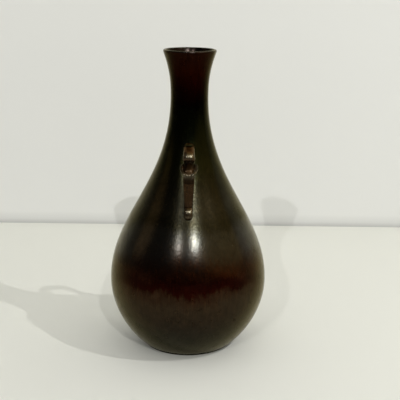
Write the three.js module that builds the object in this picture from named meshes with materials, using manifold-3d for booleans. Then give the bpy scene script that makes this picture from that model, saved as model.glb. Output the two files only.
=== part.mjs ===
// A cast bronze flower vase: a pear-shaped body with a tall neck, a plate let into its foot from
// below, and a loop handle at the front and the rear. Each handle is saddled to the curved wall and
// held by two pins, which pass through the wall and are headed over inside.
// Millimetres, +Z up. The origin is the middle of the foot, on the surface that the vase stands on.

import * as THREE from 'three';
import { mergeVertices } from 'three/addons/utils/BufferGeometryUtils.js';
import Module from 'manifold-3d';

// Outside of the body
const height = 260;
const mouthRadius = 22.5;
const waistRadius = 16;
const waistHeight = 221;
const bellyRadius = 68.5;
const bellyHeight = 59.5;
const footRadius = 39.5;
const footEdge = 1.5;

// Fullness of the body's outline: how far its curves run on from the mouth, waist, belly and foot
const mouthRun = 6.2;
const mouthRise = 17.5;
const waistRunUp = 9.5;
const waistRunDown = 74.5;
const bellyRunUp = 56.5;
const bellyRunDown = 29.5;
const footRun = 8;
const footRise = 5;

// Wall, foot ring and the plate that closes the foot
const wall = 2.5;
const footRingWidth = 4;
const footRecess = 3.5;
const plateThickness = 2.5;
const plateChamfer = 0.6;
const ledgeWidth = 3;
const ledgeThickness = 2.5;

// Film of solder or air between two pieces that meet
const joint = 0.3;

// Handles: the height of the root, how far down the toe ends, how far the snout stands off the
// wall, the snout's section, and the ears
const rootHeight = 181.5;
const handleDrop = 56.5;
const handleReach = 19;
const snoutWidth = 9.8;
const snoutDepth = 8.8;
const sectionPower = 3.2;
const earLength = 11;
const earDepth = 8.4;
const earThickness = 5.4;
const earSpread = 3.8;
const earDrop = 15.5;
const earReach = 17.4;
const earTilt = Math.PI / 12;

// One row for each place along a handle, from the neck down to the toe. Each value is a share of
// the size above it: drop is the height lost since the root, out is from the wall to the middle of
// the section, width is along X and depth is across the strap.
const handleRows = [
  { place: 'inside the neck', drop: 0.046, out: -0.235, width: 0.98, depth: 1.18 },
  { place: 'root', drop: 0.039, out: 0.055, width: 0.94, depth: 1.05 },
  { place: 'fillet', drop: 0.009, out: 0.249, width: 0.86, depth: 0.73 },
  { place: 'arm', drop: -0.012, out: 0.477, width: 0.84, depth: 0.44 },
  { place: 'crown', drop: 0.014, out: 0.724, width: 0.94, depth: 0.78 },
  { place: 'head', drop: 0.085, out: 0.829, width: 1.00, depth: 1.20 },
  { place: 'cheek', drop: 0.136, out: 0.853, width: 1.04, depth: 1.07 },
  { place: 'groove', drop: 0.182, out: 0.869, width: 0.92, depth: 0.73 },
  { place: 'brow', drop: 0.232, out: 1.000, width: 0.94, depth: 0.95 },
  { place: 'snout', drop: 0.287, out: 1.000, width: 1.00, depth: 1.00 },
  { place: 'lip', drop: 0.347, out: 0.959, width: 1.02, depth: 1.02 },
  { place: 'chin', drop: 0.391, out: 0.945, width: 0.98, depth: 0.61 },
  { place: 'crease', drop: 0.448, out: 0.870, width: 0.94, depth: 0.33 },
  { place: 'strap', drop: 0.535, out: 0.701, width: 0.88, depth: 0.35 },
  { place: 'bend', drop: 0.628, out: 0.489, width: 0.82, depth: 0.32 },
  { place: 'shank', drop: 0.713, out: 0.326, width: 0.77, depth: 0.34 },
  { place: 'heel', drop: 0.777, out: 0.167, width: 0.73, depth: 0.59 },
  { place: 'instep', drop: 0.830, out: 0.071, width: 0.71, depth: 0.57 },
  { place: 'toe', drop: 0.894, out: 0.088, width: 0.73, depth: 0.64 },
  { place: 'toe end', drop: 0.961, out: 0.041, width: 0.70, depth: 0.59 },
  { place: 'toe edge', drop: 1.000, out: 0.004, width: 0.51, depth: 0.41 },
];

// Pins that hold the handles
const pinRadius = 1.2;
const pinClearance = 0.3;
const pinHeadRadius = 2.8;
const pinHeadHeight = 1.2;
const upperPinDrop = 1.5;
const upperPinDepth = 5;
const lowerPinDrop = 49;
const lowerPinDepth = 2.4;

// Smoothness
const bodySegments = 64;
const bowlSteps = 8;
const shoulderSteps = 14;
const flareSteps = 6;
const insideCoarser = 2;
const lipSteps = 3;
const footEdgeSteps = 2;
const sectionSteps = 16;
const stepsPerRow = 3;
const pinSegments = 12;
const pinHeadSteps = 3;
const earSteps = 10;
const fineStep = 1e-6;

const wasm = await Module();
wasm.setup();

// Closed triangle meshes

function cleaned(geometry) {
  geometry.deleteAttribute('normal');
  geometry.deleteAttribute('uv');
  const merged = mergeVertices(geometry);
  const corners = merged.index.array;
  const kept = [];
  for (let i = 0; i < corners.length; i += 3) {
    const [a, b, c] = [corners[i], corners[i + 1], corners[i + 2]];
    if (a !== b && b !== c && c !== a) {
      kept.push(a, b, c);
    }
  }
  merged.setIndex(kept);
  return merged;
}

function solidOf(geometry) {
  const closed = cleaned(geometry);
  return new wasm.Manifold(new wasm.Mesh({
    numProp: 3,
    vertProperties: new Float32Array(closed.attributes.position.array),
    triVerts: new Uint32Array(closed.index.array),
  }));
}

function geometryOf(solid) {
  const mesh = solid.getMesh();
  const geometry = new THREE.BufferGeometry();
  geometry.setAttribute('position', new THREE.BufferAttribute(mesh.vertProperties, 3));
  geometry.setIndex(new THREE.BufferAttribute(mesh.triVerts, 1));
  geometry.computeVertexNormals();
  return geometry;
}

// Turns an outline of (radius, height) points about the vertical axis
function revolved(outline, segments) {
  return new THREE.LatheGeometry(outline, segments).rotateX(Math.PI / 2);
}

// Body outline. Points are (radius, height), and the curves run upwards from the foot.

const point = (radius, level) => new THREE.Vector2(radius, level);

const mouthSlope = point(mouthRun, mouthRise).normalize();
const lipRadius = wall / 2;
const lipCentre = point(mouthRadius - lipRadius, height - lipRadius);
const lipOutside = point(
  lipCentre.x + lipRadius * mouthSlope.y,
  lipCentre.y - lipRadius * mouthSlope.x,
);

const bowl = new THREE.CubicBezierCurve(
  point(footRadius, footEdge),
  point(footRadius + footRun, footEdge + footRise),
  point(bellyRadius, bellyHeight - bellyRunDown),
  point(bellyRadius, bellyHeight),
);
const shoulder = new THREE.CubicBezierCurve(
  point(bellyRadius, bellyHeight),
  point(bellyRadius, bellyHeight + bellyRunUp),
  point(waistRadius, waistHeight - waistRunDown),
  point(waistRadius, waistHeight),
);
const flare = new THREE.CubicBezierCurve(
  point(waistRadius, waistHeight),
  point(waistRadius, waistHeight + waistRunUp),
  point(lipOutside.x - mouthRun, lipOutside.y - mouthRise),
  lipOutside,
);
const stretches = [
  { curve: bowl, steps: bowlSteps },
  { curve: shoulder, steps: shoulderSteps },
  { curve: flare, steps: flareSteps },
];

// The side of the body from the foot to the lip, moved towards the axis by a distance
function sideLine(inset, coarser = 1) {
  const line = [];
  for (const { curve, steps } of stretches) {
    const parts = Math.round(steps / coarser);
    for (let i = line.length ? 1 : 0; i <= parts; i++) {
      const on = curve.getPointAt(i / parts);
      const along = curve.getTangentAt(i / parts);
      line.push(point(on.x - inset * along.y, on.y + inset * along.x));
    }
  }
  return line;
}

// The part of a line above a level, starting on that level
function above(line, level) {
  const first = line.findIndex((p) => p.y > level);
  const below = line[first - 1];
  const share = (level - below.y) / (line[first].y - below.y);
  return [below.clone().lerp(line[first], share), ...line.slice(first)];
}

// The outer wall at a height: its radius and its outward direction
function wallAt(level) {
  const { curve } = stretches.find((s) => level <= s.curve.v3.y);
  let [low, high] = [0, 1];
  while (high - low > fineStep) {
    const middle = (low + high) / 2;
    if (curve.getPoint(middle).y < level) {
      low = middle;
    } else {
      high = middle;
    }
  }
  const along = curve.getTangent(low);
  return { radius: curve.getPoint(low).x, normal: point(along.y, -along.x) };
}

const seatRadius = footRadius - footRingWidth;
const ledgeRadius = seatRadius - ledgeWidth;
const ledgeBottom = footRecess + plateThickness + joint;
const ledgeTop = ledgeBottom + ledgeThickness;

function arc(centre, radius, from, to, steps) {
  const points = [];
  for (let i = 0; i <= steps; i++) {
    const angle = from + (to - from) * i / steps;
    points.push(point(centre.x + radius * Math.cos(angle), centre.y + radius * Math.sin(angle)));
  }
  return points;
}

function bodyOutline() {
  const edgeCentre = point(footRadius - footEdge, footEdge);
  const lipStart = -Math.atan2(mouthSlope.x, mouthSlope.y);
  const lipTop = Math.PI / 2;
  const outline = [
    point(seatRadius, 0),
    ...arc(edgeCentre, footEdge, -Math.PI / 2, 0, footEdgeSteps).slice(0, -1),
    ...sideLine(0).slice(0, -1),
    ...arc(lipCentre, lipRadius, lipStart, lipTop, lipSteps).slice(0, -1),
    ...arc(lipCentre, lipRadius, lipTop, lipStart + Math.PI, lipSteps).slice(0, -1),
    ...above(sideLine(wall, insideCoarser), ledgeTop).reverse(),
    point(ledgeRadius, ledgeTop),
    point(ledgeRadius, ledgeBottom),
    point(seatRadius, ledgeBottom),
  ];
  outline.push(outline[0].clone());
  return outline;
}

// Solid within the outer wall, grown by the joint: what a handle's feet are cut to
function wallCutter() {
  const side = sideLine(-joint);
  const outline = [point(0, side[0].y), ...side, point(0, side[side.length - 1].y)];
  return solidOf(revolved(outline, bodySegments));
}

// Solid within the hollow, shrunk by the joint: what the pins' heads are cut to
function hollowCutter() {
  const side = above(sideLine(wall + joint, insideCoarser), ledgeTop);
  const outline = [point(0, side[0].y), ...side, point(0, side[side.length - 1].y)];
  return solidOf(revolved(outline, bodySegments));
}

// Pins. Each lies square to the wall, and its own axis starts at zero on the wall's outside.

const frontPins = [
  { name: 'upper', level: rootHeight - upperPinDrop, depth: upperPinDepth },
  { name: 'lower', level: rootHeight - lowerPinDrop, depth: lowerPinDepth },
];

// Moves a shape that was made along Y so that it starts on the front wall and points outwards
function setInWall(geometry, level) {
  const { radius, normal } = wallAt(level);
  const outwards = new THREE.Vector3(0, -normal.x, normal.y);
  const turn = new THREE.Quaternion().setFromUnitVectors(new THREE.Vector3(0, 1, 0), outwards);
  return geometry.applyQuaternion(turn).translate(0, -radius, level);
}

// The hole starts well inside the hollow and ends a joint past the pin's tip
function pinHole({ level, depth }) {
  const start = -wall - pinHeadRadius;
  const end = depth + joint;
  const radius = pinRadius + pinClearance;
  const bore = new THREE.CylinderGeometry(radius, radius, end - start, pinSegments);
  return solidOf(setInWall(bore.translate(0, (start + end) / 2, 0), level));
}

// The head is a domed plug that reaches into the wall, cut off along the curve of the hollow
function pin({ level, depth }) {
  const underHead = -wall - joint;
  const crown = underHead - pinHeadHeight;
  const dome = [];
  for (let i = 0; i <= pinHeadSteps; i++) {
    const angle = Math.PI / 2 * i / pinHeadSteps;
    dome.push(point(pinHeadRadius * Math.sin(angle), underHead - pinHeadHeight * Math.cos(angle)));
  }
  const head = new THREE.LatheGeometry([...dome, point(pinHeadRadius, 0), point(0, 0)], pinSegments);
  const shank = new THREE.LatheGeometry([
    point(0, crown + pinHeadHeight / 2),
    point(pinRadius, crown + pinHeadHeight / 2),
    point(pinRadius, depth),
    point(0, depth),
  ], pinSegments);
  const seatedHead = solidOf(setInWall(head, level)).intersect(hollowCutter());
  return seatedHead.add(solidOf(setInWall(shank, level)));
}

// Handle: a strap of changing section swept along a line in the YZ plane

function handleSweep() {
  const middles = new THREE.CatmullRomCurve3(handleRows.map((row) => {
    const level = rootHeight - handleDrop * row.drop;
    return new THREE.Vector3(0, -wallAt(level).radius - handleReach * row.out, level);
  }));
  const sizes = new THREE.CatmullRomCurve3(handleRows.map((row) => (
    new THREE.Vector3(snoutWidth * row.width, snoutDepth * row.depth, 0)
  )), false, 'catmullrom', 0.5);

  const rings = (handleRows.length - 1) * stepsPerRow;
  const across = new THREE.Vector3(1, 0, 0);
  const positions = [];
  const addPoint = (p) => positions.push(p.x, p.y, p.z);
  const rounded = (value) => Math.sign(value) * Math.abs(value) ** (2 / sectionPower);
  for (let i = 0; i <= rings; i++) {
    const middle = middles.getPoint(i / rings);
    const outwards = new THREE.Vector3().crossVectors(middles.getTangent(i / rings), across);
    const size = sizes.getPoint(i / rings);
    for (let j = 0; j < sectionSteps; j++) {
      const angle = 2 * Math.PI * j / sectionSteps;
      addPoint(middle.clone()
        .addScaledVector(across, size.x / 2 * rounded(Math.cos(angle)))
        .addScaledVector(outwards, size.y / 2 * rounded(Math.sin(angle))));
    }
  }
  addPoint(middles.getPoint(0));
  addPoint(middles.getPoint(1));

  const corners = [];
  const [firstCap, lastCap] = [(rings + 1) * sectionSteps, (rings + 1) * sectionSteps + 1];
  const lastRing = rings * sectionSteps;
  for (let j = 0; j < sectionSteps; j++) {
    const next = (j + 1) % sectionSteps;
    for (let i = 0; i < rings; i++) {
      const [here, on] = [i * sectionSteps, (i + 1) * sectionSteps];
      corners.push(here + j, here + next, on + j, here + next, on + next, on + j);
    }
    corners.push(firstCap, next, j, lastCap, lastRing + j, lastRing + next);
  }
  const geometry = new THREE.BufferGeometry();
  geometry.setAttribute('position', new THREE.Float32BufferAttribute(positions, 3));
  geometry.setIndex(corners);
  return solidOf(geometry);
}

// A small ear on each side of the brow, leaning outwards at the top
function ear(side) {
  const level = rootHeight - earDrop;
  const out = wallAt(level).radius + earReach;
  const leaf = new THREE.SphereGeometry(0.5, earSteps, earSteps / 2);
  leaf.scale(earThickness, earDepth, earLength).rotateY(side * earTilt);
  return solidOf(leaf.translate(side * earSpread, -out, level));
}

function handle() {
  let casting = handleSweep().add(ear(-1)).add(ear(1)).subtract(wallCutter());
  for (const frontPin of frontPins) {
    casting = casting.subtract(pinHole(frontPin));
  }
  return casting;
}

function body() {
  let shell = solidOf(revolved(bodyOutline(), bodySegments));
  for (const frontPin of frontPins) {
    const hole = pinHole(frontPin);
    shell = shell.subtract(hole).subtract(hole.rotate([0, 0, 180]));
  }
  return shell;
}

function basePlate() {
  const radius = seatRadius - joint;
  const top = footRecess + plateThickness;
  return solidOf(revolved([
    point(0, footRecess),
    point(radius - plateChamfer, footRecess),
    point(radius, footRecess + plateChamfer),
    point(radius, top),
    point(0, top),
  ], bodySegments));
}

// Bronze under a dark brown patina

function bronze(color, roughness) {
  return new THREE.MeshStandardMaterial({ color, roughness, metalness: 0.6 });
}

function piece(name, solid, material) {
  const mesh = new THREE.Mesh(geometryOf(solid), material);
  mesh.name = name;
  return mesh;
}

const vase = new THREE.Group();
vase.name = 'vase';
vase.add(piece('body', body(), bronze(0x2a1a12, 0.35)));
vase.add(piece('base_plate', basePlate(), bronze(0x2e2118, 0.55)));

const handleSolid = handle();
const pinSolids = frontPins.map((frontPin) => pin(frontPin));
for (const [name, turn] of [['front', 0], ['rear', Math.PI]]) {
  const side = new THREE.Group();
  side.name = name;
  side.rotation.z = turn;
  side.add(piece(`${name}_handle`, handleSolid, bronze(0x34241a, 0.4)));
  frontPins.forEach((frontPin, i) => {
    side.add(piece(`${name}_${frontPin.name}_pin`, pinSolids[i], bronze(0x6b5130, 0.5)));
  });
  vase.add(side);
}

export default vase;
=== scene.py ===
# A cast bronze flower vase with a patinated surface and two small loop handles, on a pale table.
# Everything is in metres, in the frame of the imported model.

import math

import bpy
from mathutils import Matrix, Vector, kdtree, noise


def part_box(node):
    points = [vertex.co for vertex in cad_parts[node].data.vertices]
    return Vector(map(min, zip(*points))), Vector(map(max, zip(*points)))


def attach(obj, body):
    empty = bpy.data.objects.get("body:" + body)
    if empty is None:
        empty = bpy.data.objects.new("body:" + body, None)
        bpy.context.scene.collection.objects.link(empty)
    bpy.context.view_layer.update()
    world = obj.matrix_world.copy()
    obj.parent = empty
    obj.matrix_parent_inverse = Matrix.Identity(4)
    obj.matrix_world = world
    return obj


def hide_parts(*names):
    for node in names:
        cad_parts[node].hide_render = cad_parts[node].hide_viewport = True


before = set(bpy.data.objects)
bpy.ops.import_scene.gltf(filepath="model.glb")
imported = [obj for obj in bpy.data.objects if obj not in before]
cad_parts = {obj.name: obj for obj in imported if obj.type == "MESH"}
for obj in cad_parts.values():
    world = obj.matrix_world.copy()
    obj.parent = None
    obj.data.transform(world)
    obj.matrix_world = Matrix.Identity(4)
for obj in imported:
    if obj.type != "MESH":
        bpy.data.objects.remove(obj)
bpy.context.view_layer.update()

MM = 0.001

# Outside of the body, as in the model of its construction
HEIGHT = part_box("body")[1].z
BELLY_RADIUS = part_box("body")[1].x
MOUTH_RADIUS = 22.5 * MM
WAIST_RADIUS = 16 * MM
WAIST_HEIGHT = 221 * MM
BELLY_HEIGHT = 59.5 * MM
FOOT_RADIUS = 39.5 * MM
FOOT_EDGE = 1.5 * MM
MOUTH_RUN, MOUTH_RISE = 6.2 * MM, 17.5 * MM
WAIST_RUN_UP, WAIST_RUN_DOWN = 9.5 * MM, 74.5 * MM
BELLY_RUN_UP, BELLY_RUN_DOWN = 56.5 * MM, 29.5 * MM
FOOT_RUN, FOOT_RISE = 8 * MM, 5 * MM
WALL = 2.5 * MM
FOOT_RING_WIDTH = 4 * MM
LEDGE_WIDTH = 3 * MM
LEDGE_THICKNESS = 2.5 * MM
JOINT = 0.3 * MM
PLATE_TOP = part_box("base_plate")[1].z
PLATE_RINGS = [9 * MM, 21 * MM]
PLATE_MARK = 0.5 * MM
PLATE_RING_DEPTH = 0.3 * MM
EDGE_BREAK = 0.3 * MM

# Handles. The ear's thickness and depth change from its lowest to its highest point by the
# shares in the two ENDS.
ROOT_HEIGHT = 181.5 * MM
HANDLE_DROP = 56.5 * MM
HANDLE_REACH = 19 * MM
SNOUT_WIDTH = 9.8 * MM
SNOUT_DEPTH = 8.8 * MM
SECTION_POWER = 3.2
EAR_LENGTH, EAR_DEPTH, EAR_THICKNESS = 11 * MM, 8.4 * MM, 5.4 * MM
EAR_SPREAD, EAR_DROP, EAR_REACH = 3.8 * MM, 15.5 * MM, 17.4 * MM
EAR_TILT = math.pi / 12
EAR_THICKNESS_ENDS = (1.15, 0.80)
EAR_DEPTH_ENDS = (1.0, 1.154)
TUSK_LINE = [(6.4 * MM, -43.0 * MM, 171.0 * MM), (6.3 * MM, -46.8 * MM, 167.3 * MM),
             (5.0 * MM, -49.8 * MM, 165.0 * MM), (3.2 * MM, -51.1 * MM, 163.5 * MM),
             (1.6 * MM, -51.3 * MM, 162.4 * MM)]
TUSK_RADIUS = 1.0 * MM
TUSK_TIP = 0.05 * MM
SEAT_SINK = 0.4 * MM

# Place along a handle: drop, out, width and depth, as shares of HANDLE_DROP, HANDLE_REACH,
# SNOUT_WIDTH and SNOUT_DEPTH. They were chosen in millimetres, and a small program divided them.
HANDLE_ROWS = [
    ("inside the neck", 0.046, -0.235, 0.98, 1.18),
    ("root", 0.039, 0.055, 0.94, 1.05),
    ("fillet", 0.009, 0.249, 0.86, 0.73),
    ("arm", -0.012, 0.477, 0.84, 0.44),
    ("crown", 0.014, 0.724, 0.94, 0.78),
    ("head", 0.085, 0.829, 1.00, 1.20),
    ("cheek", 0.136, 0.853, 1.04, 1.07),
    ("groove", 0.182, 0.869, 0.92, 0.73),
    ("brow", 0.232, 1.000, 0.94, 0.95),
    ("snout", 0.287, 1.000, 1.00, 1.00),
    ("lip", 0.347, 0.959, 1.02, 1.02),
    ("chin", 0.391, 0.945, 0.98, 0.61),
    ("crease", 0.448, 0.870, 0.94, 0.33),
    ("strap", 0.535, 0.701, 0.88, 0.35),
    ("bend", 0.628, 0.489, 0.82, 0.32),
    ("shank", 0.713, 0.326, 0.77, 0.34),
    ("heel", 0.777, 0.167, 0.73, 0.59),
    ("instep", 0.830, 0.071, 0.71, 0.57),
    ("toe", 0.894, 0.088, 0.73, 0.64),
    ("toe end", 0.961, 0.041, 0.70, 0.59),
    ("toe edge", 1.000, 0.004, 0.51, 0.41),
]

# How finely the meshes follow their curves. A direction is read over LOOK, a share of the line, to
# either side, and a height is found on a curve by so many HALVINGS.
BODY_SEGMENTS, PLATE_SEGMENTS = 256, 192
OUTSIDE_STEPS, INSIDE_STEPS = (48, 90, 36), (30, 60, 24)
FOOT_EDGE_STEPS, LIP_STEPS = 8, 16
RING_COUNT, SECTION_STEPS = 240, 48
EAR_ROWS, EAR_STEPS = 24, 32
TUSK_ROWS, TUSK_STEPS = 30, 16
HANDLE_LOOK, TUSK_LOOK = 0.002, 0.01
HALVINGS = 24
LAST_SPAN_GAP = 1e-9
VOXEL, SMOOTHINGS = 0.16 * MM, 6

# Unevenness of the casting: waves per metre and depth, slow all over and also rough inside. It
# fades out at the foot and the lip. The side lies inset, so that no wave stands past the CAD box.
SLOW_WAVES, SLOW_DEPTH = 45, 0.07 * MM
ROUGH_WAVES, ROUGH_DEPTH = 160, 0.14 * MM
ROUGH_FALLOFF, ROUGH_LEVELS = 0.9, 4
SIDE_INSET = 0.05 * MM
EVEN_END, EVEN_FADE = 2 * MM, 8 * MM

# Camera, fitted to the vase's edges in the photograph, with the lens held at about a phone's 2x
CAMERA_DISTANCE = 0.7365
CAMERA_HEIGHT = 0.3209
CAMERA_PITCH = math.radians(14.553)
CAMERA_YAW = math.radians(-0.775)
CAMERA_ROLL = math.radians(0.695)
FOCAL_PIXELS, IMAGE_PIXELS = 870, 400
SENSOR = 36


def clamped(value, low=0.0, high=1.0):
    return min(high, max(low, value))


def between(ends, share):
    return ends[0] + (ends[1] - ends[0]) * share


# Outline of the body, as points of radius and height

def bezier(ends, t):
    a, b, c, d = ends
    u = 1 - t
    return a * u ** 3 + b * 3 * u * u * t + c * 3 * u * t * t + d * t ** 3


def bezier_slope(ends, t):
    a, b, c, d = ends
    u = 1 - t
    return ((b - a) * u * u + (c - b) * 2 * u * t + (d - c) * t * t).normalized()


mouth_slope = Vector((MOUTH_RUN, MOUTH_RISE)).normalized()
lip_radius = WALL / 2
lip_centre = Vector((MOUTH_RADIUS - lip_radius, HEIGHT - lip_radius))
lip_outside = lip_centre + lip_radius * Vector((mouth_slope.y, -mouth_slope.x))

BOWL = (
    Vector((FOOT_RADIUS, FOOT_EDGE)),
    Vector((FOOT_RADIUS + FOOT_RUN, FOOT_EDGE + FOOT_RISE)),
    Vector((BELLY_RADIUS, BELLY_HEIGHT - BELLY_RUN_DOWN)),
    Vector((BELLY_RADIUS, BELLY_HEIGHT)),
)
SHOULDER = (
    Vector((BELLY_RADIUS, BELLY_HEIGHT)),
    Vector((BELLY_RADIUS, BELLY_HEIGHT + BELLY_RUN_UP)),
    Vector((WAIST_RADIUS, WAIST_HEIGHT - WAIST_RUN_DOWN)),
    Vector((WAIST_RADIUS, WAIST_HEIGHT)),
)
FLARE = (
    Vector((WAIST_RADIUS, WAIST_HEIGHT)),
    Vector((WAIST_RADIUS, WAIST_HEIGHT + WAIST_RUN_UP)),
    lip_outside - Vector((MOUTH_RUN, MOUTH_RISE)),
    lip_outside,
)


def side_line(inset, steps):
    """The side from the foot to the lip, moved towards the axis by inset."""
    line = []
    for curve, count in zip((BOWL, SHOULDER, FLARE), steps):
        for i in range(1 if line else 0, count + 1):
            along = bezier_slope(curve, i / count)
            line.append(bezier(curve, i / count) + inset * Vector((-along.y, along.x)))
    return line


def arc(centre, radius, start, end, steps):
    angles = [start + (end - start) * i / steps for i in range(steps + 1)]
    return [centre + radius * Vector((math.cos(a), math.sin(a))) for a in angles]


def wall_radius(level):
    """Radius of the outside of the body at a height."""
    curve = next((c for c in (BOWL, SHOULDER) if level <= c[3].y), FLARE)
    low, high = 0.0, 1.0
    for _ in range(HALVINGS):
        middle = (low + high) / 2
        if bezier(curve, middle).y < level:
            low = middle
        else:
            high = middle
    return bezier(curve, low).x


def body_outline():
    seat_radius = FOOT_RADIUS - FOOT_RING_WIDTH
    ledge_bottom = PLATE_TOP + JOINT
    ledge_top = ledge_bottom + LEDGE_THICKNESS
    ledge_radius = seat_radius - LEDGE_WIDTH
    lip_start = -math.atan2(mouth_slope.x, mouth_slope.y)
    edge_centre = Vector((FOOT_RADIUS - FOOT_EDGE, FOOT_EDGE))
    inside = [p for p in side_line(WALL, INSIDE_STEPS) if p.y > ledge_top]
    return [
        Vector((seat_radius, EDGE_BREAK)),
        Vector((seat_radius + EDGE_BREAK, 0)),
        *arc(edge_centre, FOOT_EDGE, -math.pi / 2, 0, FOOT_EDGE_STEPS)[:-1],
        *side_line(0, OUTSIDE_STEPS)[:-1],
        *arc(lip_centre, lip_radius, lip_start, lip_start + math.pi, LIP_STEPS)[:-1],
        *reversed(inside),
        Vector((inside[0].x - EDGE_BREAK, ledge_top)),
        Vector((ledge_radius + EDGE_BREAK, ledge_top)),
        Vector((ledge_radius, ledge_top - EDGE_BREAK)),
        Vector((ledge_radius, ledge_bottom)),
        Vector((seat_radius, ledge_bottom)),
    ]


# Meshes

def finish_mesh(name, vertices, faces):
    mesh = bpy.data.meshes.new(name)
    mesh.from_pydata([tuple(v) for v in vertices], [], faces)
    mesh.validate()
    mesh.shade_smooth()
    piece = bpy.data.objects.new(name, mesh)
    bpy.context.scene.collection.objects.link(piece)
    return piece


def revolved(name, outline, segments, wobble):
    """Turns a closed outline about the Z axis. wobble gives how far a point is moved in radius."""
    vertices = []
    for i in range(segments):
        turn = 2 * math.pi * i / segments
        for p in outline:
            at = Vector((p.x * math.sin(turn), -p.x * math.cos(turn), p.y))
            scale = 1 + wobble(at) / p.x
            vertices.append((at.x * scale, at.y * scale, at.z))
    count = len(outline)
    faces = []
    for i in range(segments):
        here, on = i * count, (i + 1) % segments * count
        for j in range(count):
            k = (j + 1) % count
            faces.append((here + j, on + j, on + k, here + k))
    return finish_mesh(name, vertices, faces)


def hand_wobble(at):
    """How far the casting's surface lies from its drawn side, out or in, at a point."""
    outside = wall_radius(clamped(at.z, FOOT_EDGE, lip_outside.y))
    inside_wall = math.hypot(at.x, at.y) < outside - WALL / 2
    from_foot = clamped((at.z - EVEN_END) / EVEN_FADE)
    from_lip = clamped((HEIGHT - EVEN_END - at.z) / EVEN_FADE)
    slow = noise.noise(at * SLOW_WAVES) * SLOW_DEPTH
    rough = noise.fractal(at * ROUGH_WAVES, ROUGH_FALLOFF, 2.0, ROUGH_LEVELS) * ROUGH_DEPTH
    return from_foot * from_lip * (slow + (rough if inside_wall else 0) - SIDE_INSET)


def make_body():
    piece = revolved("vase_body", body_outline(), BODY_SEGMENTS, hand_wobble)
    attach(piece, "root")
    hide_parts("body")
    return piece


def make_base_plate():
    """The disc soldered into the foot, with two turned rings and a centre mark underneath."""
    low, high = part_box("base_plate")
    radius, bottom, top = high.x, low.z, high.z
    outline = [(PLATE_MARK, bottom + PLATE_RING_DEPTH), (2 * PLATE_MARK, bottom)]
    for ring in PLATE_RINGS:
        outline += [(ring - PLATE_MARK, bottom), (ring, bottom + PLATE_RING_DEPTH),
                    (ring + PLATE_MARK, bottom)]
    outline += [(radius - EDGE_BREAK, bottom), (radius, bottom + EDGE_BREAK),
                (radius, top - EDGE_BREAK), (radius - EDGE_BREAK, top)]
    segments, count = PLATE_SEGMENTS, len(outline)
    vertices, faces = [], []
    for i in range(segments):
        turn = 2 * math.pi * i / segments
        vertices += [(r * math.sin(turn), -r * math.cos(turn), z) for r, z in outline]
    for i in range(segments):
        here, on = i * count, (i + 1) % segments * count
        faces += [(here + j, on + j, on + j + 1, here + j + 1) for j in range(count - 1)]
        faces.append((len(vertices), on, here))
        faces.append((len(vertices) + 1, here + count - 1, on + count - 1))
    vertices += [(0, 0, bottom + PLATE_RING_DEPTH), (0, 0, top)]
    piece = finish_mesh("vase_base_plate", vertices, faces)
    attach(piece, "root")
    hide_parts("base_plate")
    return piece


# Handle

def catmull_rom(points, t, power):
    """A point on the spline through points. power 0 spaces its knots evenly, 0.25 by distance."""
    spans = len(points) - 1
    place = min(t * spans, spans - LAST_SPAN_GAP)
    i = int(place)
    w = place - i
    p1, p2 = points[i], points[i + 1]
    p0 = points[i - 1] if i > 0 else p1 + (p1 - p2)
    p3 = points[i + 2] if i + 2 <= spans else p2 + (p2 - p1)
    if power:
        d0, d1, d2 = [(a - b).length_squared ** power for a, b in ((p0, p1), (p1, p2), (p2, p3))]
    else:
        d0 = d1 = d2 = 1
    m1 = ((p1 - p0) / d0 - (p2 - p0) / (d0 + d1) + (p2 - p1) / d1) * d1
    m2 = ((p2 - p1) / d1 - (p3 - p1) / (d1 + d2) + (p3 - p2) / d2) * d1
    return (
        p1 * (2 * w ** 3 - 3 * w * w + 1) + m1 * (w ** 3 - 2 * w * w + w)
        + p2 * (3 * w * w - 2 * w ** 3) + m2 * (w ** 3 - w * w)
    )


def handle_line():
    """Middles, outward directions and section sizes along the front handle."""
    middles = []
    for _, drop, out, _, _ in HANDLE_ROWS:
        level = ROOT_HEIGHT - HANDLE_DROP * drop
        middles.append(Vector((0, -wall_radius(level) - HANDLE_REACH * out, level)))
    sizes = [Vector((SNOUT_WIDTH * row[3], SNOUT_DEPTH * row[4])) for row in HANDLE_ROWS]
    line = []
    for i in range(RING_COUNT + 1):
        t = i / RING_COUNT
        ahead = catmull_rom(middles, min(1, t + HANDLE_LOOK), 0.25)
        behind = catmull_rom(middles, max(0, t - HANDLE_LOOK), 0.25)
        along = (ahead - behind).normalized()
        outwards = along.cross(Vector((1, 0, 0)))
        line.append((catmull_rom(middles, t, 0.25), along, outwards, catmull_rom(sizes, t, 0)))
    return line


def rounded(value):
    return math.copysign(abs(value) ** (2 / SECTION_POWER), value)


def tube_faces(rings, steps, capped):
    """Faces between rings of points. Where capped, one more face closes each end."""
    faces = []
    for i in range(rings - 1):
        here, on = i * steps, (i + 1) * steps
        for j in range(steps):
            k = (j + 1) % steps
            faces.append((here + j, here + k, on + k, on + j))
    if capped:
        last = (rings - 1) * steps
        faces.append(tuple(reversed(range(steps))))
        faces.append(tuple(last + j for j in range(steps)))
    return faces


def sweep_mesh(line):
    vertices = []
    for middle, _, outwards, size in line:
        for j in range(SECTION_STEPS):
            angle = 2 * math.pi * j / SECTION_STEPS
            across = Vector((size.x / 2 * rounded(math.cos(angle)), 0, 0))
            vertices.append(middle + across + outwards * (size.y / 2 * rounded(math.sin(angle))))
    return vertices, tube_faces(len(line), SECTION_STEPS, True)


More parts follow.
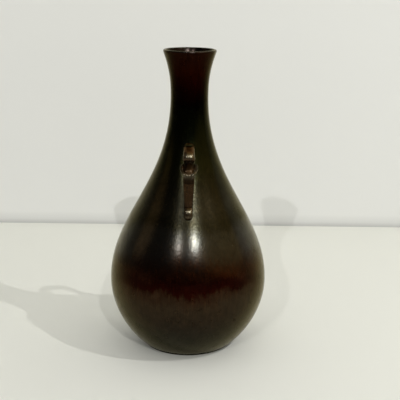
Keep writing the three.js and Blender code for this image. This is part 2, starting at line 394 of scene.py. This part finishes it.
def ear_mesh(side):
    """A leaf-shaped ear, thinner and deeper towards its top."""
    level = ROOT_HEIGHT - EAR_DROP
    centre = Vector((side * EAR_SPREAD, -wall_radius(level) - EAR_REACH, level))
    lean = Matrix.Rotation(side * EAR_TILT, 3, "Y")
    vertices = []
    for i in range(EAR_ROWS + 1):
        up = math.pi * i / EAR_ROWS
        raised = (1 - math.cos(up)) / 2
        thickness = EAR_THICKNESS / 2 * between(EAR_THICKNESS_ENDS, raised)
        depth = EAR_DEPTH / 2 * between(EAR_DEPTH_ENDS, raised)
        for j in range(EAR_STEPS):
            turn = 2 * math.pi * j / EAR_STEPS
            local = Vector((
                thickness * math.sin(up) * math.cos(turn),
                depth * math.sin(up) * math.sin(turn),
                -EAR_LENGTH / 2 * math.cos(up),
            ))
            vertices.append(centre + lean @ local)
    return vertices, tube_faces(EAR_ROWS + 1, EAR_STEPS, False)


def tusk_mesh(side):
    """A thin raised roll from behind the ear to the tip of the snout."""
    points = [Vector((side * x, y, z)) for x, y, z in TUSK_LINE]
    vertices = []
    for i in range(TUSK_ROWS + 1):
        t = i / TUSK_ROWS
        ahead = catmull_rom(points, min(1, t + TUSK_LOOK), 0)
        behind = catmull_rom(points, max(0, t - TUSK_LOOK), 0)
        along = (ahead - behind).normalized()
        sideways = along.cross(Vector((0, -1, 0))).normalized()
        outwards = sideways.cross(along)
        radius = TUSK_RADIUS * math.sqrt(1 - (2 * t - 1) ** 4) + TUSK_TIP
        for j in range(TUSK_STEPS):
            angle = 2 * math.pi * j / TUSK_STEPS
            around = sideways * math.cos(angle) + outwards * math.sin(angle)
            vertices.append(catmull_rom(points, t, 0) + around * radius)
    return vertices, tube_faces(TUSK_ROWS + 1, TUSK_STEPS, True)


def joined_by_voxels(name, parts, voxel, smoothing):
    """One skin round several closed shapes that overlap."""
    vertices, faces = [], []
    for part_vertices, part_faces in parts:
        start = len(vertices)
        vertices += part_vertices
        faces += [tuple(start + i for i in face) for face in part_faces]
    rough = finish_mesh(name + "_rough", vertices, faces)
    remesh = rough.modifiers.new("skin", "REMESH")
    remesh.mode = "VOXEL"
    remesh.voxel_size = voxel
    smooth = rough.modifiers.new("smooth", "SMOOTH")
    smooth.factor = 0.5
    smooth.iterations = smoothing
    bpy.context.view_layer.update()
    evaluated = rough.evaluated_get(bpy.context.evaluated_depsgraph_get())
    mesh = bpy.data.meshes.new_from_object(evaluated)
    bpy.data.objects.remove(rough)
    return mesh


# Fine carving across the front of the handle: row beside it, shift along the strap, half width of
# the line, depth, and how far it reaches across as a share of the strap's width. A negative depth
# is a raised roll.
CARVING = [
    ("groove", -0.2 * MM, 0.45 * MM, 0.50 * MM, 0.95),
    ("groove", 1.9 * MM, 0.45 * MM, 0.50 * MM, 0.95),
    ("crown", 1.0 * MM, 2.0 * MM, 0.35 * MM, 1.20),
    ("head", 3.0 * MM, 1.7 * MM, -0.50 * MM, 1.20),
    ("brow", -0.2 * MM, 2.2 * MM, 0.90 * MM, 1.20),
    ("lip", 1.0 * MM, 1.4 * MM, -0.60 * MM, 0.60),
    ("crease", 0.0 * MM, 0.50 * MM, 0.22 * MM, 0.80),
    ("instep", 0.6 * MM, 0.40 * MM, 0.35 * MM, 1.20),
]

# Where shade is painted, and where the bronze is worn bright, in part as a painted highlight: row
# beside it, shift along the strap, half width and strength
PAINTED_SHADE, WEAR_AND_SHEEN = "painted_shade", "wear_and_sheen"
SHADED_PLACES = [
    ("groove", 1.6 * MM, 3.2 * MM, 0.88),
    ("brow", 0.8 * MM, 2.8 * MM, 0.60),
    ("chin", 0.6 * MM, 1.8 * MM, 0.40),
    ("crease", -1.2 * MM, 2.2 * MM, 0.30),
    ("toe edge", 0.0 * MM, 1.0 * MM, 0.70),
]
WORN_AND_SHEEN_PLACES = [
    ("head", 1.4 * MM, 2.2 * MM, 1.00),
    ("lip", 0.7 * MM, 1.6 * MM, 1.00),
    ("toe", 0.4 * MM, 2.0 * MM, 0.85),
    ("toe end", 0.2 * MM, 1.0 * MM, 0.60),
]

# The tusks are worn too: how strongly, at how many points along them, and how near to their line
# The worn bronze on the tusks is in part a painted highlight where the lamps glint
TUSK_WEAR_AND_SHEEN = 0.8
TUSK_MARKS = 20
TUSK_RUB_REACH = 1.3 * TUSK_RADIUS

# Painted shade fills the cuts narrower than WIDE_CUT, wholly at DEEP_CUT, and lies on the seats
WIDE_CUT = 1 * MM
DEEP_CUT = 0.40 * MM
SEAT_SHADE, SEAT_UNSHADED = 0.9 * MM, 0.1

# How fast the front of the strap begins at its edges, how fast a cut ends, and the casting's pits
FRONT_RISE, FRONT_START = 2, 0.3
CUT_FADE = 0.4 * MM
PIT_WAVES, PIT_DEPTH, PIT_LEVELS = 900, 0.03 * MM, 3


def bell(distance, half_width):
    return math.exp(-(distance / half_width) ** 2)


def carve(mesh, line):
    """Carves and pits the handle, lays its feet inside the wall, and marks painted shade and worn
    sheen.
    """
    tree = kdtree.KDTree(len(line))
    lengths = [0.0]
    for i, (middle, _, _, _) in enumerate(line):
        tree.insert(middle, i)
        if i:
            lengths.append(lengths[-1] + (middle - line[i - 1][0]).length)
    tree.balance()
    names = [row[0] for row in HANDLE_ROWS]

    def placed(rows):
        starts = [round(names.index(row[0]) / (len(names) - 1) * RING_COUNT) for row in rows]
        return [(lengths[i] + shift, *rest) for i, (_, shift, *rest) in zip(starts, rows)]

    cuts, shade_rows, rubbed_and_sheen = placed(CARVING), placed(SHADED_PLACES), placed(WORN_AND_SHEEN_PLACES)
    tusk = [Vector(point) for point in TUSK_LINE]
    tusk_points = [catmull_rom(tusk, i / TUSK_MARKS, 0) for i in range(TUSK_MARKS + 1)]
    moved, painted_shade, wear_and_sheen = [], [], []
    for vertex in mesh.vertices:
        _, i, _ = tree.find(vertex.co)
        middle, along, outwards, size = line[i]
        offset = vertex.co - middle
        place = lengths[i] + offset.dot(along)
        front = clamped(offset.dot(outwards) / (size.y / 2) * FRONT_RISE - FRONT_START)
        sink, narrow = 0, 0
        for at, half_width, depth, reach in cuts:
            cut = depth * bell(place - at, half_width)
            sink += cut * front * clamped((reach * size.x / 2 - abs(offset.x)) / CUT_FADE)
            narrow += cut if half_width < WIDE_CUT else 0
        # Painted shade in the fine cuts and at the listed places, and then where the foot meets the
        # wall
        unshaded = 1 - clamped(narrow * front / DEEP_CUT)
        for at, half_width, strength in shade_rows:
            unshaded *= 1 - strength * bell(place - at, half_width)
        to_wall = math.hypot(vertex.co.x, vertex.co.y) - wall_radius(vertex.co.z)
        painted_shade.append(1 - unshaded * clamped(to_wall / SEAT_SHADE, SEAT_UNSHADED))
        # Worn spots and tusks, where the lamps glint: in part a painted highlight
        shine = front * max(strength * bell(place - at, half_width)
                            for at, half_width, strength in rubbed_and_sheen)
        mirrored = Vector((abs(vertex.co.x), -abs(vertex.co.y), vertex.co.z))
        if min((mirrored - point).length for point in tusk_points) < TUSK_RUB_REACH:
            shine = max(shine, TUSK_WEAR_AND_SHEEN)
        wear_and_sheen.append(shine)
        pitted = noise.fractal(vertex.co * PIT_WAVES, 1.0, 2.0, PIT_LEVELS) * PIT_DEPTH
        moved.append(vertex.co - vertex.normal * (sink - pitted))
    for vertex, co in zip(mesh.vertices, moved):
        across = math.hypot(co.x, co.y)
        least = wall_radius(co.z) - SEAT_SINK
        if across < least:
            co = Vector((co.x * least / across, co.y * least / across, co.z))
        vertex.co = co
    mesh.attributes.new(PAINTED_SHADE, "FLOAT", "POINT").data.foreach_set("value", painted_shade)
    mesh.attributes.new(WEAR_AND_SHEEN, "FLOAT", "POINT").data.foreach_set("value", wear_and_sheen)
    mesh.shade_smooth()


def make_handles():
    line = handle_line()
    parts = [sweep_mesh(line), ear_mesh(-1), ear_mesh(1), tusk_mesh(-1), tusk_mesh(1)]
    mesh = joined_by_voxels("handle", parts, VOXEL, SMOOTHINGS)
    carve(mesh, line)
    pieces = []
    for side, turn in (("front", 0), ("rear", math.pi)):
        own = mesh.copy()
        own.transform(Matrix.Rotation(turn, 4, "Z"))
        piece = bpy.data.objects.new(f"vase_{side}_handle", own)
        bpy.context.scene.collection.objects.link(piece)
        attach(piece, "root")
        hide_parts(f"{side}_handle")
        pieces.append(piece)
    return pieces


# Materials

class Nodes:
    """Short names for the shader nodes that the materials are built from."""

    def __init__(self, name):
        self.material = bpy.data.materials.new(name)
        self.material.use_nodes = True
        self.tree = self.material.node_tree
        self.shader = self.tree.nodes["Principled BSDF"]
        self.place = self.tree.nodes.new("ShaderNodeTexCoord").outputs["Object"]

    def link(self, source, target):
        self.tree.links.new(source, target)

    def add(self, kind, inputs=None, **settings):
        node = self.tree.nodes.new(kind)
        for key, value in settings.items():
            setattr(node, key, value)
        for key, value in (inputs or {}).items():
            if isinstance(value, bpy.types.NodeSocket):
                self.link(value, node.inputs[key])
            else:
                node.inputs[key].default_value = value
        return node

    def height(self):
        return self.add("ShaderNodeSeparateXYZ", {0: self.place}).outputs[2]

    def stretched(self, x, y, z):
        return self.add("ShaderNodeMapping", {"Vector": self.place, "Scale": (x, y, z)}).outputs[0]

    def noise(self, place, scale, detail=4.0, roughness=0.55, distortion=0.0):
        return self.add("ShaderNodeTexNoise", {
            "Vector": place, "Scale": scale, "Detail": detail,
            "Roughness": roughness, "Distortion": distortion,
        }).outputs["Fac"]

    def math(self, operation, a, b=0.0):
        return self.add("ShaderNodeMath", {0: a, 1: b}, operation=operation).outputs[0]

    def spread(self, value, low, high, new_low=0.0, new_high=1.0):
        return self.add("ShaderNodeMapRange", {
            "Value": value, "From Min": low, "From Max": high,
            "To Min": new_low, "To Max": new_high,
        }).outputs[0]

    def ramp(self, value, stops):
        node = self.add("ShaderNodeValToRGB", {"Fac": value})
        band = node.color_ramp
        for i, (at, colour) in enumerate(stops):
            stop = band.elements[i] if i < 2 else band.elements.new(at)
            stop.position = at
            stop.color = (*colour, 1)
        return node.outputs["Color"]

    def mix(self, share, a, b, kind="MIX"):
        node = self.add("ShaderNodeMix", data_type="RGBA", blend_type=kind)
        for socket, value in zip((node.inputs[0], node.inputs[6], node.inputs[7]), (share, a, b)):
            if isinstance(value, bpy.types.NodeSocket):
                self.link(value, socket)
            elif isinstance(value, tuple):
                socket.default_value = (*value, 1)
            else:
                socket.default_value = value
        return node.outputs[2]

    def bump(self, height, distance, strength, under=None):
        node = self.add("ShaderNodeBump", {
            "Height": height, "Distance": distance, "Strength": strength,
        })
        if under is not None:
            self.link(under, node.inputs["Normal"])
        return node.outputs[0]


# Patina by height, as shares of the full height: colour reflected straight on, and the share of
# the surface that still has its wax. The browns and reds are the patina's own. The tones also hold
# painted reflection: the neck and a band low on the belly are darkened where the room seen in them
# is dark, and the wax is raised at the height of the lamps' highlights and dipped just above them.
BODY_TONES_AND_REFLECTIONS = [
    (0.00, (0.015, 0.015, 0.012), 0.26),
    (0.08, (0.016, 0.014, 0.009), 0.16),
    (0.15, (0.022, 0.015, 0.008), 0.10),
    (0.21, (0.028, 0.018, 0.009), 0.08),
    (0.245, (0.025, 0.012, 0.005), 0.06),
    (0.262, (0.012, 0.0010, 0.0002), 0.02),
    (0.285, (0.012, 0.0014, 0.0003), 0.03),
    (0.308, (0.024, 0.0065, 0.0015), 0.06),
    (0.335, (0.017, 0.0055, 0.0010), 0.20),
    (0.365, (0.012, 0.0065, 0.002), 0.50),
    (0.41, (0.012, 0.009, 0.004), 0.54),
    (0.435, (0.012, 0.0095, 0.004), 0.45),
    (0.465, (0.013, 0.011, 0.005), 0.10),
    (0.51, (0.016, 0.013, 0.006), 0.20),
    (0.56, (0.012, 0.010, 0.0045), 0.10),
    (0.64, (0.009, 0.009, 0.002), 0.08),
    (0.77, (0.003, 0.004, 0.0005), 0.04),
    (0.83, (0.0008, 0.0004, 0.0002), 0.00),
    (0.89, (0.005, 0.0004, 0.0001), 0.00),
    (0.93, (0.010, 0.0015, 0.0002), 0.00),
    (1.00, (0.011, 0.003, 0.001), 0.02),
]

# The handles are brown, and more orange at the crown, as a painted reflection on its upturned faces
HANDLE_TONES_AND_CROWN_REFLECTION = [
    (0.665, (0.028, 0.014, 0.005), 0.10),
    (0.695, (0.070, 0.032, 0.009), 0.10),
]
PIN_TONES = [(at, (0.16, 0.10, 0.05), 0.1) for at in (0.0, 1.0)]
# Colours of worn bronze on the body and on the handles, laid where the lamps glint, so in part a
# painted highlight
BODY_WEAR_AND_SHEEN = (0.03, 0.028, 0.024)
HANDLE_WEAR_AND_SHEEN = (0.062, 0.049, 0.028)

# Patterns of the patina, in waves per metre. Clouds and strokes shift its bands up and down, by
# shares of the height. Mottling darkens it and takes off wax, and brushing brightens it. Each
# effect spreads over a part of its pattern's values.
CLOUD_WAVES, CLOUD_SHIFT = 28, 0.04
BRUSH_WAVES = (520, 520, 26)
STROKE_WAVES, STROKE_SHIFT = (520, 520, 160), 0.016
MOTTLE_WAVES, MOTTLE_DISTORTION = 170, 0.4
MOTTLED, MOTTLED_SHARE, MOTTLED_PART = (0.4, 0.4, 0.4), 0.6, (0.35, 0.75)
BRUSHED, BRUSHED_SHARE, BRUSHED_PART = (2.2, 1.9, 1.7), 0.45, (0.45, 0.8)
STROKE_PART, MIDDLE_PART = (0.2, 0.8), (0.3, 0.7)
NO_WAX, NO_WAX_SHARE = (0, 0, 0), 0.4
MOTTLE_SMOOTHER, MOTTLE_ROUGHER, BRUSH_ROUGHER = 0.05, 0.06, 0.03
RUBBED_WAX, RUBBED_ROUGHNESS = (0.4, 0.4, 0.4), 0.9
# Colour of painted shade, inside the body and in the handles' cuts and seats
PAINTED_SHADE_COLOUR = (0.0012, 0.001, 0.0006)
EDGE_TINT = (0.86, 0.81, 0.64, 1)
WAX_ROUGHNESS, WAX_IOR = 0.21, 1.5

# Soft unevenness, dents and fine grain: waves per metre, detail, depth and strength
BUMPS = [(60, 2, 0.4 * MM, 0.12), (420, 2, 0.07 * MM, 1.0), (1400, 3, 0.02 * MM, 0.5)]


def patina(name, tones, roughness, painted_shade=None, wear_and_sheen=None, worn_sheen_colour=None):
    """Waxed bronze, with masks for painted shade and for worn spots that paint highlights."""
    n = Nodes(name)
    n.shader.inputs["Metallic"].default_value = 1.0
    n.shader.inputs["Specular Tint"].default_value = EDGE_TINT
    n.shader.inputs["Coat Roughness"].default_value = WAX_ROUGHNESS
    n.shader.inputs["Coat IOR"].default_value = WAX_IOR
    clouds = n.noise(n.place, CLOUD_WAVES, detail=3)
    brushed = n.noise(n.stretched(*BRUSH_WAVES), 1, detail=3, roughness=0.6)
    strokes = n.noise(n.stretched(*STROKE_WAVES), 1, detail=3, roughness=0.7)
    level = n.math("ADD", n.math("DIVIDE", n.height(), HEIGHT),
                   n.spread(clouds, 0, 1, -CLOUD_SHIFT, CLOUD_SHIFT))
    level = n.math("ADD", level, n.spread(strokes, *STROKE_PART, -STROKE_SHIFT, STROKE_SHIFT))
    tone = n.ramp(level, [(at, colour) for at, colour, _ in tones])
    wax = n.ramp(level, [(at, (share, share, share)) for at, _, share in tones])
    mottled = n.noise(n.place, MOTTLE_WAVES, 5, 0.65, MOTTLE_DISTORTION)
    tone = n.mix(n.spread(mottled, *MOTTLED_PART, 0, MOTTLED_SHARE), tone, MOTTLED, "MULTIPLY")
    tone = n.mix(n.spread(brushed, *BRUSHED_PART, 0, BRUSHED_SHARE), tone, BRUSHED, "MULTIPLY")
    wax = n.mix(n.spread(mottled, *MIDDLE_PART, 0, NO_WAX_SHARE), wax, NO_WAX)
    smoothest, roughest = roughness - MOTTLE_SMOOTHER, roughness + MOTTLE_ROUGHER
    rough = n.math("ADD", n.spread(mottled, *MIDDLE_PART, smoothest, roughest),
                   n.spread(brushed, *MIDDLE_PART, -BRUSH_ROUGHER, BRUSH_ROUGHER))
    # Worn spots: a brighter colour, more wax and less roughness; in part a painted highlight
    if wear_and_sheen:
        rubbed_and_sheen = wear_and_sheen(n)
        tone = n.mix(rubbed_and_sheen, tone, worn_sheen_colour)
        wax = n.mix(rubbed_and_sheen, wax, RUBBED_WAX)
        rough = n.math("MULTIPLY", rough, n.spread(rubbed_and_sheen, 0, 1, 1, RUBBED_ROUGHNESS))
    # Painted shade: a dark colour and no wax
    if painted_shade:
        shade_share = painted_shade(n)
        tone = n.mix(shade_share, tone, PAINTED_SHADE_COLOUR)
        wax = n.mix(shade_share, wax, NO_WAX)
    n.link(tone, n.shader.inputs["Base Color"])
    n.link(wax, n.shader.inputs["Coat Weight"])
    n.link(rough, n.shader.inputs["Roughness"])
    surface = None
    for waves, detail, depth, strength in BUMPS:
        surface = n.bump(n.noise(n.place, waves, detail), depth, strength, surface)
    n.link(surface, n.shader.inputs["Normal"])
    n.link(surface, n.shader.inputs["Coat Normal"])
    return n.material


# Position times normal, in metres, where a surface faces the axis and where it faces away
FACING_IN, FACING_OUT = -0.004, 0.002

# Depth below the lip where a change starts and ends, and its shares there: how much shade is
# painted inside, and how worn the lip and the mouth are, which also paints highlights there
INSIDE_PAINTED_SHADE = (12 * MM, 5 * MM, 0.92, 0.5)
LIP_WEAR_AND_SHEEN = (1.5 * MM, 0.9 * MM, 0, 0.35)
MOUTH_WEAR_AND_SHEEN = (9 * MM, 4 * MM, 0, 0.25)


def facing_axis(n):
    """1 where the surface faces the axis of the body."""
    surface = n.add("ShaderNodeNewGeometry")
    across = n.add("ShaderNodeVectorMath", {0: surface.outputs["Position"], 1: (1, 1, 0)},
                   operation="MULTIPLY").outputs[0]
    outward = n.add("ShaderNodeVectorMath", {0: surface.outputs["Normal"], 1: across},
                    operation="DOT_PRODUCT").outputs["Value"]
    return n.spread(outward, FACING_IN, FACING_OUT, 1, 0)


def by_depth(n, change):
    start, end, low_share, high_share = change
    return n.spread(n.height(), HEIGHT - start, HEIGHT - end, low_share, high_share)


def painted_shade_inside(n):
    """How much shade is painted on the inside: nearly 1 far down, and less near the mouth."""
    return n.math("MULTIPLY", facing_axis(n), by_depth(n, INSIDE_PAINTED_SHADE))


def lip_wear_and_sheen(n):
    """How worn the lip and the inside of the mouth are; in part a painted highlight."""
    inside = n.math("MULTIPLY", facing_axis(n), by_depth(n, MOUTH_WEAR_AND_SHEEN))
    return n.math("MAXIMUM", by_depth(n, LIP_WEAR_AND_SHEEN), inside)


def mark_of(attribute):
    return lambda n: n.add("ShaderNodeAttribute", attribute_name=attribute).outputs["Fac"]


def use(piece, material):
    piece.data.materials.clear()
    piece.data.materials.append(material)


# Table, wall and lamps

TABLE_HALF = 30
TABLE_COLOUR = (0.79, 0.79, 0.72, 1)
WALL_HALF, WALL_TOP = 3.2, 2.4
WALL_LEFT_BACK, WALL_RIGHT_BACK = 0.413, 0.325

# Shade painted on the wall: darker where it meets the table, and far to the left, outside the view
WALL_FOOT_SHADE = (0.001, 0.016)
WALL_TONES_AND_FOOT_SHADE = [(0, (0.58, 0.58, 0.56)), (0.35, (0.74, 0.74, 0.715)), (1, (0.84, 0.84, 0.81))]
WALL_FAR_LEFT = (-0.35, -1.0)
WALL_SHADE = (0.22, 0.22, 0.21)


def make_stage():
    floor = finish_mesh("table", [(-TABLE_HALF, -TABLE_HALF, 0), (TABLE_HALF, -TABLE_HALF, 0),
                                  (TABLE_HALF, TABLE_HALF, 0), (-TABLE_HALF, TABLE_HALF, 0)],
                        [(0, 1, 2, 3)])
    surface = Nodes("table_white")
    surface.shader.inputs["Base Color"].default_value = TABLE_COLOUR
    surface.shader.inputs["Roughness"].default_value = 0.6
    surface.shader.inputs["Specular IOR Level"].default_value = 0.2
    use(floor, surface.material)

    left, right = (-WALL_HALF, WALL_LEFT_BACK), (WALL_HALF, WALL_RIGHT_BACK)
    wall = finish_mesh("wall", [(*left, 0), (*right, 0), (*right, WALL_TOP), (*left, WALL_TOP)],
                       [(0, 1, 2, 3)])
    paint = Nodes("wall_white")
    across = paint.add("ShaderNodeSeparateXYZ", {0: paint.place}).outputs[0]
    # Painted shade: darker along the foot of the wall and far to the left
    shade = paint.ramp(paint.spread(paint.height(), *WALL_FOOT_SHADE), WALL_TONES_AND_FOOT_SHADE)
    shade = paint.mix(paint.spread(across, *WALL_FAR_LEFT), shade, WALL_SHADE)
    paint.link(shade, paint.shader.inputs["Base Color"])
    paint.shader.inputs["Roughness"].default_value = 0.8
    paint.shader.inputs["Specular IOR Level"].default_value = 0.1
    behind = paint.add("ShaderNodeNewGeometry").outputs["Backfacing"]
    clear = paint.add("ShaderNodeBsdfTransparent").outputs[0]
    seen = paint.add("ShaderNodeMixShader", {0: behind, 1: paint.shader.outputs[0], 2: clear})
    paint.link(seen.outputs[0], paint.tree.nodes["Material Output"].inputs["Surface"])
    use(wall, paint.material)


# Small lamps: name, place, size and power. The places are fitted to the edges of their shadows
# and to their highlights in the photograph.
LAMPS = [
    ("lamp_right", (1.167, -0.677, 1.602), 0.01, 9.2),
    ("lamp_front_right", (0.478, -2.446, 1.831), 0.02, 17.5),
    ("lamp_front_left", (-2.358, -7.276, 4.904), 0.06, 105),
]
LAMP_AIM = Vector((0, 0, 0.12))

# Even light from round patches of the room: name, strength, azimuth, elevation and width in
# degrees, and colour. Azimuth 0 is the front and 90 the right. The ceiling lights the pale
# surfaces, and the others show only in reflections.
WHITE, WARM, BROWN, COOL = (1, 1, 1), (1.0, 0.79, 0.34), (1.0, 0.70, 0.36), (0.78, 0.92, 1.0)
CEILING = ("ceiling", 1.33, 25, 82, 106, WHITE)
REFLECTIONS = [
    ("room_right", 1.4, 70, 48, 96, WARM),
    ("room_left", 0.185, -95, 28, 40, BROWN),
    ("glow_front_right", 1.10, 13.4, 34.0, 7.5, COOL),
    ("glow_front_left", 0.12, -18, 35, 6, COOL),
]
ROOM_COLOUR, ROOM_STRENGTH = (1, 1, 0.97, 1), 0.10


def new_lamp(name, kind, energy, towards):
    lamp = bpy.data.lights.new(name, kind)
    lamp.energy = energy
    holder = bpy.data.objects.new(name, lamp)
    holder.rotation_mode = "QUATERNION"
    holder.rotation_quaternion = Vector(towards).to_track_quat("-Z", "Y")
    bpy.context.scene.collection.objects.link(holder)
    return holder


def disc_lamp(name, place, size, power):
    holder = new_lamp(name, "AREA", power, LAMP_AIM - Vector(place))
    holder.location = place
    holder.data.shape = "DISK"
    holder.data.size = size


def soft_light(name, energy, azimuth, elevation, width, colour):
    a, e = math.radians(azimuth), math.radians(elevation)
    towards = (-math.sin(a) * math.cos(e), math.cos(a) * math.cos(e), -math.sin(e))
    holder = new_lamp(name, "SUN", energy, towards)
    holder.data.angle = math.radians(width)
    holder.data.color = colour
    return holder


def make_lights():
    for name, place, size, power in LAMPS:
        disc_lamp(name, place, size, power)
    soft_light(*CEILING).visible_glossy = False
    for patch in REFLECTIONS:
        soft_light(*patch).visible_diffuse = False
    world = bpy.data.worlds.new("room")
    world.use_nodes = True
    world.node_tree.nodes["Background"].inputs["Color"].default_value = ROOM_COLOUR
    world.node_tree.nodes["Background"].inputs["Strength"].default_value = ROOM_STRENGTH
    bpy.context.scene.world = world


def make_camera():
    data = bpy.data.cameras.new("camera")
    data.sensor_width = SENSOR
    data.lens = SENSOR * FOCAL_PIXELS / IMAGE_PIXELS
    camera = bpy.data.objects.new("camera", data)
    level_right = Vector((math.cos(CAMERA_YAW), math.sin(CAMERA_YAW), 0))
    level_ahead = Vector((-math.sin(CAMERA_YAW), math.cos(CAMERA_YAW), 0))
    ahead = level_ahead * math.cos(CAMERA_PITCH) - Vector((0, 0, math.sin(CAMERA_PITCH)))
    level_up = level_right.cross(ahead)
    right = level_right * math.cos(CAMERA_ROLL) + level_up * math.sin(CAMERA_ROLL)
    up = right.cross(ahead)
    turn = Matrix((right, up, -ahead)).transposed().to_4x4()
    camera.matrix_world = Matrix.Translation((0, -CAMERA_DISTANCE, CAMERA_HEIGHT)) @ turn
    bpy.context.scene.collection.objects.link(camera)
    bpy.context.scene.camera = camera


make_camera()
make_stage()
make_lights()
# The materials of the body and the handles carry painted reflection, shade and highlights besides
# patina
body_patina_and_painted_light = patina("body_patina_and_painted_light", BODY_TONES_AND_REFLECTIONS, 0.23, painted_shade_inside, lip_wear_and_sheen, BODY_WEAR_AND_SHEEN)
use(make_body(), body_patina_and_painted_light)
handle_patina_and_painted_light = patina("handle_patina_and_painted_light", HANDLE_TONES_AND_CROWN_REFLECTION, 0.30, mark_of(PAINTED_SHADE), mark_of(WEAR_AND_SHEEN),
                       HANDLE_WEAR_AND_SHEEN)
for handle in make_handles():
    use(handle, handle_patina_and_painted_light)

plate_patina = patina("plate_patina", BODY_TONES_AND_REFLECTIONS, 0.5)
pin_bronze = patina("pin_bronze", PIN_TONES, 0.45)
use(make_base_plate(), plate_patina)
for pin in ("front_upper_pin", "front_lower_pin", "rear_upper_pin", "rear_lower_pin"):
    use(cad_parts[pin], pin_bronze)

bpy.context.scene.view_settings.view_transform = "Standard"
